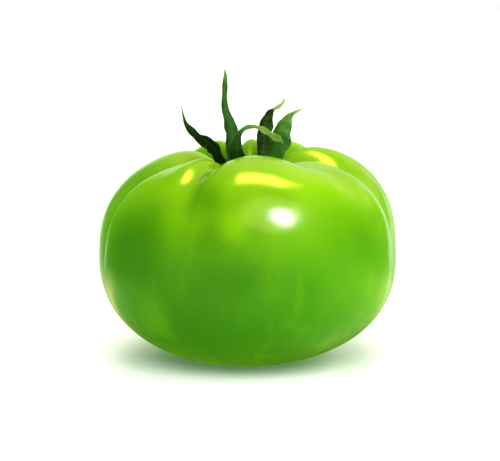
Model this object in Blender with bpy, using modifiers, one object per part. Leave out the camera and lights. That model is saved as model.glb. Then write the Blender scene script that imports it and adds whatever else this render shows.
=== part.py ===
"""A green beefsteak tomato: a ribbed fruit, and the calyx of five sepals that stands in its stem cavity.

Metres, +Z up. The origin is at the centre of the base, on the surface that the fruit rests on.
+X is to the right of the front view, and +Y points away from its viewer.
"""

import math

import bmesh
import bpy
from mathutils import Matrix, Vector
from mathutils.bvhtree import BVHTree

# The fruit's body, before its lobes are pressed in
FRUIT_RADIUS = 0.0442
EQUATOR_HEIGHT = 0.0325
TOP_RISE = 0.0322
BOTTOM_DROP = 0.0328
TOP_FULLNESS = 2.6
BOTTOM_FULLNESS = 2.24

# The stem cavity on top, and the dent of the blossom scar below
CAVITY_DEPTH = 0.0105
CAVITY_RADIUS = 0.0115
SCAR_DEPTH = 0.0009
SCAR_RADIUS = 0.0025

# The lobes, anticlockwise from +X. Each has the azimuth in degrees of the crease before it, that crease's
# depth, the latitude that it runs down to, how far the lobe's crest swells at its shoulder and its cheek,
# and how gently it turns into the crease before it and into the one after it: powers of the sine across it.
LOBES = (
    (-14, 0.0050, -20, 0.0002, 0.0010, 1.3, 1.2),
    (41, 0.0036, -5, 0.0012, 0.0005, 1.0, 1.0),
    (70, 0.0030, -5, 0.0014, 0.0005, 1.0, 1.0),
    (99, 0.0030, -5, 0.0013, 0.0004, 1.0, 1.0),
    (137, 0.0036, -5, -0.0002, -0.0010, 1.0, 0.9),
    (198, 0.0045, -25, -0.0011, -0.0018, 0.6, 3.0),
    (246, 0.0046, 8, 0.0004, 0.0002, 0.45, 0.5),
    (314, 0.0032, 28, -0.0023, -0.0006, 1.0, 0.6),
)

# Latitudes in degrees where crests swell most, and how far up and down the swelling fades out
SHOULDER_LATITUDE = 62
SHOULDER_SPREAD = 34
CHEEK_LATITUDE = 34
CHEEK_SPREAD = 40
TOP_FADE = 24

# A crease starts as a gentle dip, of this power, and takes on its lobes' own powers over these degrees
CREASE_SHARPENING = 35
GENTLE_POWER = 2.0

# Creases wander from their meridians: by how many degrees, how many times round the fruit, and how the
# wandering leans with latitude
CREASE_WANDER = 2.0
WANDERS = 3
WANDER_LEAN = 2.0

# The fruit's mesh. The step, in degrees of latitude, is the one that the profile's direction is taken over.
COLUMNS_PER_LOBE = 12
RINGS = 44
COLUMN_CROWDING = 0.45
NORMAL_STEP = 0.05

# The receptacle, which carries the sepals, and the broken end of the pedicel. Their outlines run from the top
# down, as shares of each one's radius and of its height.
SKIN_GAP = 0.0003
RECEPTACLE_RADIUS = 0.0034
RECEPTACLE_THICKNESS = 0.0014
RECEPTACLE_OUTLINE = ((0.92, 1.0), (1.0, 0.5), (0.9, 0.0))
PEDICEL_RADIUS = 0.0019
PEDICEL_LENGTH = 0.0034
PEDICEL_OUTLINE = ((0.0, 1.0), (0.85, 1.0), (1.0, 0.92), (0.9, 0.4), (1.15, 0.12))
TURNED_STEPS = 20
TURNED_MERGE = 0.00001

# The sepals. Each has the azimuth in degrees that it grows towards, and a midline of points from root to tip,
# with half the sepal's width at each point and its roll there in degrees.
SEPAL_THICKNESS = 0.0007
SEPAL_ALONG = 22
SEPAL_ACROSS = 4
SEPAL_SUBSTEPS = 4
SEPAL_CUP = 0.25
SEPALS = {
    "left": (
        215,
        (
            (-0.0015, -0.0010, 0.0560, 0.0016, 0),
            (-0.0052, -0.0030, 0.0582, 0.0022, 0),
            (-0.0080, -0.0044, 0.0607, 0.0022, 20),
            (-0.0094, -0.0055, 0.0633, 0.0020, 35),
            (-0.0110, -0.0065, 0.0651, 0.0016, 50),
            (-0.0130, -0.0078, 0.0666, 0.0013, 50),
            (-0.0152, -0.0090, 0.0684, 0.0011, 40),
            (-0.0171, -0.0100, 0.0705, 0.0007, 40),
            (-0.0182, -0.0110, 0.0728, 0.0004, 40),
            (-0.0190, -0.0118, 0.0766, 0.0001, 40),
        ),
    ),
    "tall": (
        143,
        (
            (-0.0012, 0.0010, 0.0560, 0.0016, 0),
            (-0.0038, 0.0020, 0.0584, 0.0022, -10),
            (-0.0048, 0.0034, 0.0630, 0.0021, -30),
            (-0.0051, 0.0046, 0.0674, 0.0019, -40),
            (-0.0058, 0.0055, 0.0703, 0.0017, -45),
            (-0.0065, 0.0063, 0.0740, 0.0012, -45),
            (-0.0068, 0.0071, 0.0778, 0.0008, -45),
            (-0.0067, 0.0075, 0.0808, 0.0008, -45),
            (-0.0066, 0.0075, 0.0836, 0.0006, -45),
            (-0.0067, 0.0072, 0.0860, 0.0001, -45),
        ),
    ),
    "arched": (
        265,
        (
            (-0.0002, -0.0015, 0.0560, 0.0016, 0),
            (-0.0018, -0.0036, 0.0588, 0.0024, 0),
            (-0.0027, -0.0050, 0.0626, 0.0024, 0),
            (-0.0026, -0.0062, 0.0664, 0.0013, 20),
            (-0.0019, -0.0072, 0.0686, 0.0008, 60),
            (-0.0003, -0.0082, 0.0698, 0.0008, 75),
            (0.0019, -0.0090, 0.0702, 0.0008, 70),
            (0.0042, -0.0094, 0.0697, 0.0013, 40),
            (0.0065, -0.0094, 0.0686, 0.0016, 30),
            (0.0087, -0.0090, 0.0672, 0.0014, 30),
            (0.0105, -0.0084, 0.0653, 0.0001, 35),
        ),
    ),
    "back": (
        62,
        (
            (0.0008, 0.0012, 0.0560, 0.0016, 0),
            (0.0034, 0.0028, 0.0586, 0.0021, 0),
            (0.0048, 0.0056, 0.0628, 0.0023, 10),
            (0.0051, 0.0076, 0.0674, 0.0023, 15),
            (0.0054, 0.0088, 0.0695, 0.0021, 15),
            (0.0060, 0.0096, 0.0715, 0.0017, 15),
            (0.0069, 0.0100, 0.0732, 0.0007, 10),
            (0.0080, 0.0103, 0.0741, 0.0004, 0),
            (0.0095, 0.0104, 0.0749, 0.0004, 0),
            (0.0106, 0.0105, 0.0761, 0.0003, 0),
            (0.0108, 0.0106, 0.0773, 0.0001, 0),
        ),
    ),
    "right": (
        15,
        (
            (0.0015, 0.0004, 0.0560, 0.0017, 0),
            (0.0048, 0.0008, 0.0580, 0.0027, 10),
            (0.0076, 0.0016, 0.0608, 0.0031, 25),
            (0.0089, 0.0024, 0.0637, 0.0032, 40),
            (0.0097, 0.0030, 0.0662, 0.0030, 50),
            (0.0103, 0.0034, 0.0683, 0.0026, 55),
            (0.0111, 0.0038, 0.0702, 0.0020, 55),
            (0.0121, 0.0041, 0.0719, 0.0013, 55),
            (0.0133, 0.0043, 0.0731, 0.0007, 50),
            (0.0149, 0.0045, 0.0739, 0.0004, 50),
            (0.0168, 0.0046, 0.0747, 0.0001, 50),
        ),
    ),
}

FRUIT_COLOUR = (0.14, 0.42, 0.01, 1.0)
CALYX_COLOUR = (0.05, 0.16, 0.03, 1.0)


def clear_scene():
    for obj in list(bpy.data.objects):
        bpy.data.objects.remove(obj)


def material(name, colour, roughness):
    made = bpy.data.materials.new(name)
    made.use_nodes = True
    shader = made.node_tree.nodes["Principled BSDF"]
    shader.inputs["Base Color"].default_value = colour
    shader.inputs["Roughness"].default_value = roughness
    shader.inputs["Metallic"].default_value = 0.0
    return made


def link(obj, collection, finish):
    collection.objects.link(obj)
    obj.data.materials.append(finish)
    return obj


def ease(low, high, x):
    t = min(max((x - low) / (high - low), 0.0), 1.0)
    return t * t * (3 - 2 * t)


def smooth_curve(stations, x):
    """The values at x on a smooth curve through stations, whose first number is their place on it."""
    last = len(stations) - 1
    i = max(k for k in range(last) if k == 0 or stations[k][0] <= x)

    def slopes(k):
        before, after = stations[max(k - 1, 0)], stations[min(k + 1, last)]
        return [(b - a) / (after[0] - before[0]) for a, b in zip(before[1:], after[1:])]

    here, there = stations[i], stations[i + 1]
    span = there[0] - here[0]
    t = min(max((x - here[0]) / span, 0.0), 1.0)
    weights = (2 * t**3 - 3 * t**2 + 1, t**3 - 2 * t**2 + t, 3 * t**2 - 2 * t**3, t**3 - t**2)
    parts = zip(here[1:], slopes(i), there[1:], slopes(i + 1))
    return [
        weights[0] * a + weights[1] * span * da + weights[2] * b + weights[3] * span * db
        for a, da, b, db in parts
    ]


def profile(latitude):
    """Distance from the axis and height of the body, without its lobes, at a latitude in degrees."""
    rise, fullness = (TOP_RISE, TOP_FULLNESS) if latitude > 0 else (BOTTOM_DROP, BOTTOM_FULLNESS)
    out = math.cos(math.radians(latitude))
    up = math.sin(math.radians(latitude))
    reach = ((out / FRUIT_RADIUS) ** fullness + (abs(up) / rise) ** fullness) ** (-1 / fullness)
    radius = reach * out
    height = EQUATOR_HEIGHT + reach * up
    if latitude > 0:
        height -= CAVITY_DEPTH * math.exp(-((radius / CAVITY_RADIUS) ** 2))
    else:
        height += SCAR_DEPTH * math.exp(-((radius / SCAR_RADIUS) ** 2))
    return radius, height


def profile_normal(latitude):
    """The direction out of the body's profile, as shares along the radius and up."""
    above = profile(min(latitude + NORMAL_STEP, 90))
    below = profile(max(latitude - NORMAL_STEP, -90))
    along = Vector((above[0] - below[0], above[1] - below[1])).normalized()
    return along.y, -along.x


def column_place(turn):
    """The lobe that a column is on, the column's azimuth in degrees, and the share of the lobe before it.

    The column is given as a share of a turn. Columns crowd towards the creases.
    """
    lobe = int(turn * len(LOBES)) % len(LOBES)
    share = turn * len(LOBES) - int(turn * len(LOBES))
    start = LOBES[lobe][0]
    width = (LOBES[(lobe + 1) % len(LOBES)][0] - start) % 360
    crowded = share - COLUMN_CROWDING * math.sin(2 * math.pi * share) / (2 * math.pi)
    return lobe, start + width * crowded, crowded


def bump(x, middle, spread):
    """A smooth rise from 0 to 1 and back, round a middle."""
    return math.cos(math.pi / 2 * min(abs(x - middle) / spread, 1.0)) ** 2


def lobe_relief(latitude, lobe, share):
    """How far the skin stands out of the body, which is less than nothing in a crease."""
    _, depth, lowest, shoulder, cheek, power_before, power_after = LOBES[lobe]
    _, next_depth, next_lowest, *_ = LOBES[(lobe + 1) % len(LOBES)]
    sharp_power = power_before + (power_after - power_before) * ease(0, 1, share)
    depth += (next_depth - depth) * ease(0, 1, share)
    lowest += (next_lowest - lowest) * ease(0, 1, share)
    across = max(math.sin(math.pi * share), 0.0)
    power = GENTLE_POWER + (sharp_power - GENTLE_POWER) * ease(lowest, lowest + CREASE_SHARPENING, latitude)
    crease = depth * ease(lowest, SHOULDER_LATITUDE, latitude) * (1 - across**power)
    crest = shoulder * bump(latitude, SHOULDER_LATITUDE, SHOULDER_SPREAD)
    crest += cheek * bump(latitude, CHEEK_LATITUDE, CHEEK_SPREAD)
    return (crest * across - crease) * ease(90, 90 - TOP_FADE, latitude)


def skin_point(latitude, turn):
    """A point of the fruit's skin."""
    lobe, azimuth, share = column_place(turn)
    azimuth += CREASE_WANDER * math.sin(2 * math.pi * WANDERS * turn + WANDER_LEAN * math.radians(latitude))
    radius, height = profile(latitude)
    outward, upward = profile_normal(latitude)
    relief = lobe_relief(latitude, lobe, share)
    radius += relief * outward
    height += relief * upward
    angle = math.radians(azimuth)
    return Vector((radius * math.cos(angle), radius * math.sin(angle), max(height, 0.0)))


def build_fruit():
    shape = bmesh.new()
    columns = COLUMNS_PER_LOBE * len(LOBES)
    bmesh.ops.create_uvsphere(shape, u_segments=columns, v_segments=RINGS, radius=1)
    for vert in shape.verts:
        latitude = math.degrees(math.asin(min(max(vert.co.z, -1), 1)))
        turn = math.atan2(vert.co.y, vert.co.x) / (2 * math.pi) % 1
        vert.co = skin_point(latitude, turn)
    bmesh.ops.translate(shape, verts=shape.verts, vec=-box_middle(shape.verts))
    bmesh.ops.recalc_face_normals(shape, faces=shape.faces)
    mesh = bpy.data.meshes.new("fruit")
    shape.to_mesh(mesh)
    skin = BVHTree.FromBMesh(shape)
    shape.free()
    mesh.shade_smooth()
    return bpy.data.objects.new("fruit", mesh), skin


def box_middle(verts):
    """The middle of the box round the vertices, seen from above."""
    xs = [vert.co.x for vert in verts]
    ys = [vert.co.y for vert in verts]
    return Vector(((min(xs) + max(xs)) / 2, (min(ys) + max(ys)) / 2, 0.0))


def build_receptacle(skin):
    """The turned core of the calyx, as a half outline with a Screw modifier, standing just over the skin."""
    above = EQUATOR_HEIGHT + 2 * TOP_RISE
    angles = [2 * math.pi * i / TURNED_STEPS for i in range(TURNED_STEPS)]
    rim = [Vector((RECEPTACLE_RADIUS * math.cos(a), RECEPTACLE_RADIUS * math.sin(a), above)) for a in angles]
    base = SKIN_GAP + max(skin.ray_cast(start, Vector((0, 0, -1)))[0].z for start in rim)
    top = base + RECEPTACLE_THICKNESS
    outline = [(PEDICEL_RADIUS * out, top + PEDICEL_LENGTH * up) for out, up in PEDICEL_OUTLINE]
    outline += [(RECEPTACLE_RADIUS * out, base + RECEPTACLE_THICKNESS * up) for out, up in RECEPTACLE_OUTLINE]
    outline.append((0.0, base))
    mesh = bpy.data.meshes.new("calyx")
    edges = [(i, i + 1) for i in range(len(outline) - 1)]
    mesh.from_pydata([(radius, 0.0, height) for radius, height in outline], edges, [])
    calyx = bpy.data.objects.new("calyx", mesh)
    turned = calyx.modifiers.new("Turned", "SCREW")
    turned.axis = "Z"
    turned.angle = 2 * math.pi
    turned.steps = turned.render_steps = TURNED_STEPS
    turned.use_merge_vertices = True
    turned.merge_threshold = TURNED_MERGE
    return calyx


def sepal_ribs(azimuth, stations, count):
    """The ribs across a sepal, from root to tip.

    Each is the midline's point there, the reach from it to one side, and the way that the edges cup.
    """
    numbered = [(i, *row) for i, row in enumerate(stations)]
    steps = (count - 1) * SEPAL_SUBSTEPS
    angle = math.radians(azimuth)
    sideways = Vector((-math.sin(angle), math.cos(angle), 0))
    places = [i * (len(stations) - 1) / steps for i in range(steps + 1)]
    rows = [smooth_curve(numbered, place) for place in places]
    points = [Vector(row[:3]) for row in rows]
    ribs = []
    for i, (*_, half_width, roll) in enumerate(rows):
        forward = (points[min(i + 1, steps)] - points[max(i - 1, 0)]).normalized()
        sideways = (sideways - forward * sideways.dot(forward)).normalized()
        if i % SEPAL_SUBSTEPS == 0:
            turned = Matrix.Rotation(math.radians(roll), 3, forward) @ sideways
            half_width = max(half_width, SEPAL_THICKNESS / 2)
            ribs.append((points[i], turned * half_width, forward.cross(turned) * half_width * SEPAL_CUP))
    return ribs


def stand_clear(point, skin, clearance):
    """The point, moved out of the skin where it would be too near it."""
    near, normal, _, _ = skin.find_nearest(point)
    height = (point - near).dot(normal)
    return point + normal * (clearance - height) if height < clearance else point


def build_sepal(name, azimuth, stations, skin):
    shape = bmesh.new()
    bmesh.ops.create_grid(shape, x_segments=SEPAL_ACROSS, y_segments=SEPAL_ALONG, size=0.5)
    clearance = SKIN_GAP + SEPAL_THICKNESS
    ribs = sepal_ribs(azimuth, stations, SEPAL_ALONG + 1)
    for vert in shape.verts:
        middle, reach, cup = ribs[round((vert.co.y + 0.5) * SEPAL_ALONG)]
        across = 2 * vert.co.x
        vert.co = stand_clear(middle + reach * across - cup * across**2, skin, clearance)
    bmesh.ops.triangulate(shape, faces=shape.faces)
    mesh = bpy.data.meshes.new(name)
    shape.to_mesh(mesh)
    shape.free()
    sepal = bpy.data.objects.new(name, mesh)
    blade = sepal.modifiers.new("Blade", "SOLIDIFY")
    blade.thickness = SEPAL_THICKNESS
    blade.offset = 0
    return sepal


def apply_modifiers(obj):
    graph = bpy.context.evaluated_depsgraph_get()
    mesh = bpy.data.meshes.new_from_object(obj.evaluated_get(graph))
    obj.modifiers.clear()
    obj.data = mesh


def build_calyx(skin, collection, finish):
    """The sepals, joined to the receptacle in one body."""
    calyx = link(build_receptacle(skin), collection, finish)
    blades = bpy.data.collections.new("sepals")
    bpy.context.scene.collection.children.link(blades)
    for name, (azimuth, stations) in SEPALS.items():
        link(build_sepal("sepal_" + name, azimuth, stations, skin), blades, finish)
    union = calyx.modifiers.new("Grown together", "BOOLEAN")
    union.operation = "UNION"
    union.operand_type = "COLLECTION"
    union.collection = blades
    apply_modifiers(calyx)
    for blade in list(blades.objects):
        bpy.data.objects.remove(blade)
    bpy.data.collections.remove(blades)
    calyx.data.shade_smooth()
    return calyx


def main():
    clear_scene()
    tomato = bpy.data.collections.new("green_tomato")
    bpy.context.scene.collection.children.link(tomato)
    fruit, skin = build_fruit()
    link(fruit, tomato, material("green_skin", FRUIT_COLOUR, 0.2))
    build_calyx(skin, tomato, material("sepal_green", CALYX_COLOUR, 0.6))


main()
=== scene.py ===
"""The looks of a green beefsteak tomato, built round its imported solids.

The fine skin and the fine calyx repeat the formulas and midlines of the solids, so they keep their form and
place. Metres, +Z up, and the viewer of the front is towards -Y.
"""

import math
import random

import bpy
from mathutils import Matrix, Quaternion, Vector, noise
from mathutils.bvhtree import BVHTree


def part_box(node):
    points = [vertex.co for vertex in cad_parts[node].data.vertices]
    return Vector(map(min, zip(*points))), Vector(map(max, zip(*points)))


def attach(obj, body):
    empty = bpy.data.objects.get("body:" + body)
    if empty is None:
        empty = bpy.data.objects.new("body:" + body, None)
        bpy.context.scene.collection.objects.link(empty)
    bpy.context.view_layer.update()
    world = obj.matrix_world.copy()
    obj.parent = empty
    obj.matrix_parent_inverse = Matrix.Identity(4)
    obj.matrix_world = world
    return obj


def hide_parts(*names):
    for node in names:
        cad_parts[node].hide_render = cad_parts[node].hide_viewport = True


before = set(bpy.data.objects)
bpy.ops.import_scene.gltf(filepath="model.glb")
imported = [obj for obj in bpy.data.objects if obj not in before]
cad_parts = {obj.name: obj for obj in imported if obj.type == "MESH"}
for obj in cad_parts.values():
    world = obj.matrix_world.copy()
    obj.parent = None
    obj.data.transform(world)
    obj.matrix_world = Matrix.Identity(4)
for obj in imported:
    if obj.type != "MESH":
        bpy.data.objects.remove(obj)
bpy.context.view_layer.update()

# The camera: it looks at the target from this far and this many degrees up, and in an image of this width so
# many pixels make a metre at the target
IMAGE_WIDTH = 500
PIXELS_PER_METRE = 3388
CAMERA_TARGET = Vector((0.0007, 0.0, 0.0388))
CAMERA_DISTANCE = 0.60
CAMERA_ELEVATION = 8
SENSOR_WIDTH = 36

# The fruit's body, before its lobes are pressed in
FRUIT_RADIUS = 0.0442
EQUATOR_HEIGHT = 0.0325
TOP_RISE = 0.0322
BOTTOM_DROP = 0.0328
TOP_FULLNESS = 2.6
BOTTOM_FULLNESS = 2.24
CAVITY_DEPTH = 0.0105
CAVITY_RADIUS = 0.0115
SCAR_DEPTH = 0.0009
SCAR_RADIUS = 0.0025

# The lobes, anticlockwise from +X. Each has the azimuth in degrees of the crease before it, that crease's
# depth, the latitude that it runs down to, how far the lobe's crest swells at its shoulder and its cheek, and
# how gently it turns into the crease before it and the one after it: powers of the sine across the lobe.
LOBES = (
    (-14, 0.0050, -20, 0.0002, 0.0010, 1.3, 1.2),
    (41, 0.0036, -5, 0.0012, 0.0005, 1.0, 1.0),
    (70, 0.0030, -5, 0.0014, 0.0005, 1.0, 1.0),
    (99, 0.0030, -5, 0.0013, 0.0004, 1.0, 1.0),
    (137, 0.0036, -5, -0.0002, -0.0010, 1.0, 0.9),
    (198, 0.0045, -25, -0.0011, -0.0018, 0.6, 3.0),
    (246, 0.0046, 8, 0.0004, 0.0002, 0.45, 0.5),
    (314, 0.0032, 28, -0.0023, -0.0006, 1.0, 0.6),
)

# Where the lobes' crests swell, in degrees of latitude, and the degrees over which relief fades at the top
SHOULDER_LATITUDE = 62
SHOULDER_SPREAD = 34
CHEEK_LATITUDE = 34
CHEEK_SPREAD = 40
TOP_FADE = 24

# The creases: the power of the sine where one starts, the degrees of latitude over which it sharpens, how
# many degrees it wanders to the sides, how often that repeats round the fruit, and how it shifts with height
GENTLE_POWER = 2.0
CREASE_SHARPENING = 35
CREASE_WANDER = 2.0
WANDERS = 3
WANDER_LEAN = 2.0

# How much the mesh's columns crowd towards the creases, and the degrees that a normal is worked out over
COLUMN_CROWDING = 0.45
NORMAL_STEP = 0.05

# The fine skin: its mesh, the undulation that breaks up reflections (height and wavelength of each layer),
# the narrow groove along each crease near the calyx, and the broad valley along it, painted darker as shade
SKIN_COLUMNS_PER_LOBE = 44
SKIN_RINGS = 250
UNDULATIONS = ((0.00018, 0.016), (0.00003, 0.005))
GROOVE_DEPTH = 0.00035
GROOVE_WIDTH = 0.00045
GROOVE_LATITUDES = (60, 74)
VALLEY_WIDTH = 0.0030

# A slight swelling beside the crease at the left: its middle, its reach along each axis and its height
SWELLING = ((-0.0140, -0.0184, 0.0582), (0.0045, 0.0080, 0.0300), 0.00070)

# The sepals. Each has the azimuth in degrees that it grows towards, and a midline of points from root to tip,
# with half the sepal's width at each point and its roll there in degrees.
SEPALS = {
    "left": (
        215,
        (
            (-0.0015, -0.0010, 0.0560, 0.0016, 0),
            (-0.0052, -0.0030, 0.0582, 0.0022, 0),
            (-0.0080, -0.0044, 0.0607, 0.0022, 20),
            (-0.0094, -0.0055, 0.0633, 0.0020, 35),
            (-0.0110, -0.0065, 0.0651, 0.0020, 50),
            (-0.0130, -0.0078, 0.0666, 0.0017, 50),
            (-0.0152, -0.0090, 0.0684, 0.0014, 40),
            (-0.0171, -0.0100, 0.0705, 0.0010, 40),
            (-0.0182, -0.0110, 0.0728, 0.0004, 40),
            (-0.0190, -0.0118, 0.0766, 0.0001, 40),
        ),
    ),
    "tall": (
        143,
        (
            (-0.0012, 0.0010, 0.0560, 0.0016, 0),
            (-0.0038, 0.0020, 0.0584, 0.0022, -10),
            (-0.0043, 0.0034, 0.0630, 0.0021, -30),
            (-0.0046, 0.0046, 0.0674, 0.0020, -40),
            (-0.0053, 0.0055, 0.0703, 0.0018, -45),
            (-0.0065, 0.0063, 0.0740, 0.0012, -45),
            (-0.0068, 0.0071, 0.0778, 0.0008, -45),
            (-0.0067, 0.0075, 0.0808, 0.0008, -45),
            (-0.0066, 0.0075, 0.0836, 0.0006, -45),
            (-0.0067, 0.0072, 0.0860, 0.0001, -45),
        ),
    ),
    "arched": (
        265,
        (
            (-0.0002, -0.0015, 0.0560, 0.0016, 0),
            (-0.0018, -0.0036, 0.0588, 0.0024, 0),
            (-0.0032, -0.0050, 0.0626, 0.0024, 0),
            (-0.0030, -0.0062, 0.0664, 0.0011, 10),
            (-0.0021, -0.0072, 0.0687, 0.0008, 15),
            (-0.0003, -0.0082, 0.0701, 0.0008, 20),
            (0.0019, -0.0090, 0.0705, 0.0008, 20),
            (0.0042, -0.0094, 0.0699, 0.0011, 25),
            (0.0065, -0.0094, 0.0686, 0.0016, 28),
            (0.0087, -0.0090, 0.0672, 0.0016, 30),
            (0.0105, -0.0084, 0.0653, 0.0001, 35),
        ),
    ),
    "back": (
        62,
        (
            (0.0008, 0.0012, 0.0560, 0.0016, 0),
            (0.0034, 0.0028, 0.0586, 0.0021, 0),
            (0.0048, 0.0056, 0.0628, 0.0023, 10),
            (0.0051, 0.0076, 0.0674, 0.0023, 15),
            (0.0054, 0.0088, 0.0695, 0.0021, 15),
            (0.0060, 0.0096, 0.0715, 0.0017, 15),
            (0.0069, 0.0100, 0.0732, 0.0009, 10),
            (0.0080, 0.0103, 0.0741, 0.0007, 0),
            (0.0095, 0.0104, 0.0749, 0.0007, 0),
            (0.0106, 0.0105, 0.0761, 0.0005, 0),
            (0.0108, 0.0106, 0.0773, 0.0001, 0),
        ),
    ),
    "right": (
        15,
        (
            (0.0015, 0.0004, 0.0560, 0.0017, 0),
            (0.0048, 0.0008, 0.0580, 0.0027, 10),
            (0.0073, 0.0016, 0.0608, 0.0036, 25),
            (0.0086, 0.0024, 0.0637, 0.0037, 40),
            (0.0095, 0.0030, 0.0662, 0.0033, 50),
            (0.0103, 0.0034, 0.0683, 0.0026, 55),
            (0.0111, 0.0038, 0.0702, 0.0020, 55),
            (0.0121, 0.0041, 0.0719, 0.0013, 55),
            (0.0133, 0.0043, 0.0731, 0.0007, 50),
            (0.0149, 0.0045, 0.0739, 0.0004, 50),
            (0.0168, 0.0046, 0.0747, 0.0001, 50),
        ),
    ),
}

# How each sepal is coloured from root to tip: (share of its length, green from dark 0 to light 1, paleness).
# The greens are partly painted shade and light: the left and back sepals dark where they are in shade, the
# arched one light where it is lit. The pale tips are their own colour.
SEPAL_GREENS_AND_SHADE = {
    "left": ((0.0, 0.17, 0.0), (0.5, 0.10, 0.0), (0.85, 0.22, 0.0), (1.0, 0.40, 0.1)),
    "tall": ((0.0, 0.12, 0.0), (0.3, 0.30, 0.0), (0.5, 0.42, 0.0), (0.8, 0.56, 0.0), (1.0, 0.66, 0.1)),
    "arched": ((0.0, 0.16, 0.0), (0.32, 0.34, 0.0), (0.5, 0.76, 0.1), (0.7, 1.0, 0.3), (1.0, 0.95, 0.25)),
    "back": ((0.0, 0.22, 0.0), (0.4, 0.16, 0.0), (0.62, 0.10, 0.0), (0.72, 0.70, 0.3), (1.0, 0.80, 0.5)),
    "right": ((0.0, 0.38, 0.0), (0.35, 0.50, 0.0), (0.5, 0.66, 0.0), (0.8, 0.68, 0.1), (1.0, 0.75, 0.6)),
}

# The fine blades: the mesh, the share across from which a point is on the edge, the section's cup, its half
# thickness at the root and at the tip and how full it is towards its edges, half the width of the tip, and
# how far the blades keep clear of the skin
BLADE_RIBS = 96
BLADE_ACROSS = 16
BLADE_SUBSTEPS = 2
EDGE_SHARE = 0.999
SEPAL_CUP = 0.25
HALF_THICKNESS = (0.00028, 0.00007)
SECTION_FULLNESS = 3
TIP_HALF_WIDTH = 0.00006
SKIN_CLEARANCE = 0.00055

# The midrib's ridge, the share of it on the inner face, and the sepal's half width at which it is full
MIDRIB_HEIGHT = 0.00016
MIDRIB_WIDTH = 0.00022
MIDRIB_INSIDE = 0.5
MIDRIB_FULL_AT = 0.001

# The ruffled edges: the height and number of the ruffles, how far the two edges are out of step, and the
# sepal's half width at which they are full. The width itself wobbles by a share, by a noise with its own
# place for each edge and each sepal.
RUFFLE = 0.00036
RUFFLES = 5.5
RUFFLE_OFFSET = 1.3
RUFFLE_FULL_AT = 0.0015
EDGE_WOBBLE = 0.20
WOBBLE_SCALE = 9
WOBBLE_APART = 3.0
BLADE_SEED_STEP = 1.7

# The veins: the number of side veins, their slant, sharpness and share, the sepal's half width at which they
# are full, and the pale edge
SIDE_VEINS = 16
SIDE_VEIN_SLANT = 1.6
SIDE_VEIN_SHARPNESS = 12
SIDE_VEIN_SHARE = 0.6
SIDE_VEIN_FULL_AT = 0.002
PALE_EDGE = (0.80, 1.0)
PALE_EDGE_SHARE = 0.9

# The receptacle: its outline as shares of its radius and height, its swelling towards each sepal, how far the
# middle of its underside hangs, its green from dark 0 to light 1, and its gap over the skin, which is probed
# from a height all round under its rim
RECEPTACLE_RADIUS = 0.0034
RECEPTACLE_THICKNESS = 0.0014
RECEPTACLE_OUTLINE = ((0.80, -0.35), (0.92, 0.0), (1.0, 0.3), (1.0, 0.55), (0.92, 0.85), (0.72, 1.0))
RECEPTACLE_SWELL = 0.10
RECEPTACLE_SWELL_POWER = 8
RECEPTACLE_DROP = 0.0004
RECEPTACLE_GREEN = 0.45
RECEPTACLE_GAP = 0.0003
PROBES = 20
PROBE_HEIGHT = 0.1

# The pedicel's broken end: its outline as shares of its radius and height, how deep its lowest point and its
# foot are in the receptacle, the pale broken face (the height of its middle, its rings and their paleness),
# its greens from dark 0 to light 1, and its ribs and lumps
PEDICEL_RADIUS = 0.0019
PEDICEL_LENGTH = 0.0034
PEDICEL_OUTLINE = (
    (1.30, 0.0), (1.12, 0.12), (0.95, 0.25), (0.90, 0.45), (0.93, 0.65), (1.0, 0.85),
    (0.98, 0.94), (0.85, 1.0), (0.66, 0.97), (0.45, 0.93), (0.25, 0.97),
)
PEDICEL_DROP = 0.0006
PEDICEL_SINK = 0.0001
PEDICEL_FACE_HEIGHT = 0.98
PEDICEL_FACE_RINGS = 5
PEDICEL_FACE_PALENESS = 0.6
PEDICEL_GREENS = {"root": 0.5, "side": 0.62, "face": 0.7}
PEDICEL_RIBS = 5
PEDICEL_RIB_DEPTH = 0.06
PEDICEL_LUMP_DEPTH = 0.08
PEDICEL_LUMP_SCALE = 1.7
PEDICEL_LUMP_PLACE = 4.0

# Points round the receptacle and the pedicel
TURNED_SIDES = 60

# The hairs on the calyx: their size, the share of a hair that is rooted in the blade, the part of each sepal
# that bears them, how they crowd towards its edges, how far in they reach and how far inside the edge the
# outermost stand, and how they lean to the side and towards the tip
HAIRS_PER_SEPAL = 260
HAIR_LENGTHS = (0.00025, 0.0006)
HAIR_RADIUS = 0.000022
HAIR_ROOT = 0.3
HAIR_SEED = 7
HAIR_SIDES = 3
HAIRY_PART = (0.12, 0.97)
HAIR_CROWDING = 1.6
HAIR_REACH = 0.9
HAIR_INSET = 0.97
HAIR_LEAN = (0.3, 1)
HAIR_FORWARD = (0.0, 0.6)

# Colours, linear
# The skin's greens grow lighter upwards: partly its own tone, partly painted light above and shade below
SKIN_TOP = (0.16, 0.37, 0.006, 1.0)
SKIN_MIDDLE = (0.055, 0.240, 0.001, 1.0)
SKIN_LOW = (0.027, 0.158, 0.001, 1.0)
SKIN_DARK = (0.018, 0.14, 0.0005, 1.0)
SKIN_PALE = (0.20, 0.46, 0.004, 1.0)
# The crease green is painted shade in the grooves of the creases
CREASE_SHADE_GREEN = (0.02, 0.09, 0.004, 1.0)
CORK = (0.22, 0.16, 0.06, 1.0)
SEPAL_DARK = (0.001, 0.006, 0.0005, 1.0)
SEPAL_GREEN = (0.015, 0.080, 0.010, 1.0)
SEPAL_LIGHT = (0.16, 0.38, 0.050, 1.0)
SEPAL_PALE = (0.55, 0.62, 0.36, 1.0)
VEIN_GREEN = (0.08, 0.19, 0.03, 1.0)
FLOOR_WHITE = (0.93, 0.93, 0.92, 1.0)
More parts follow.
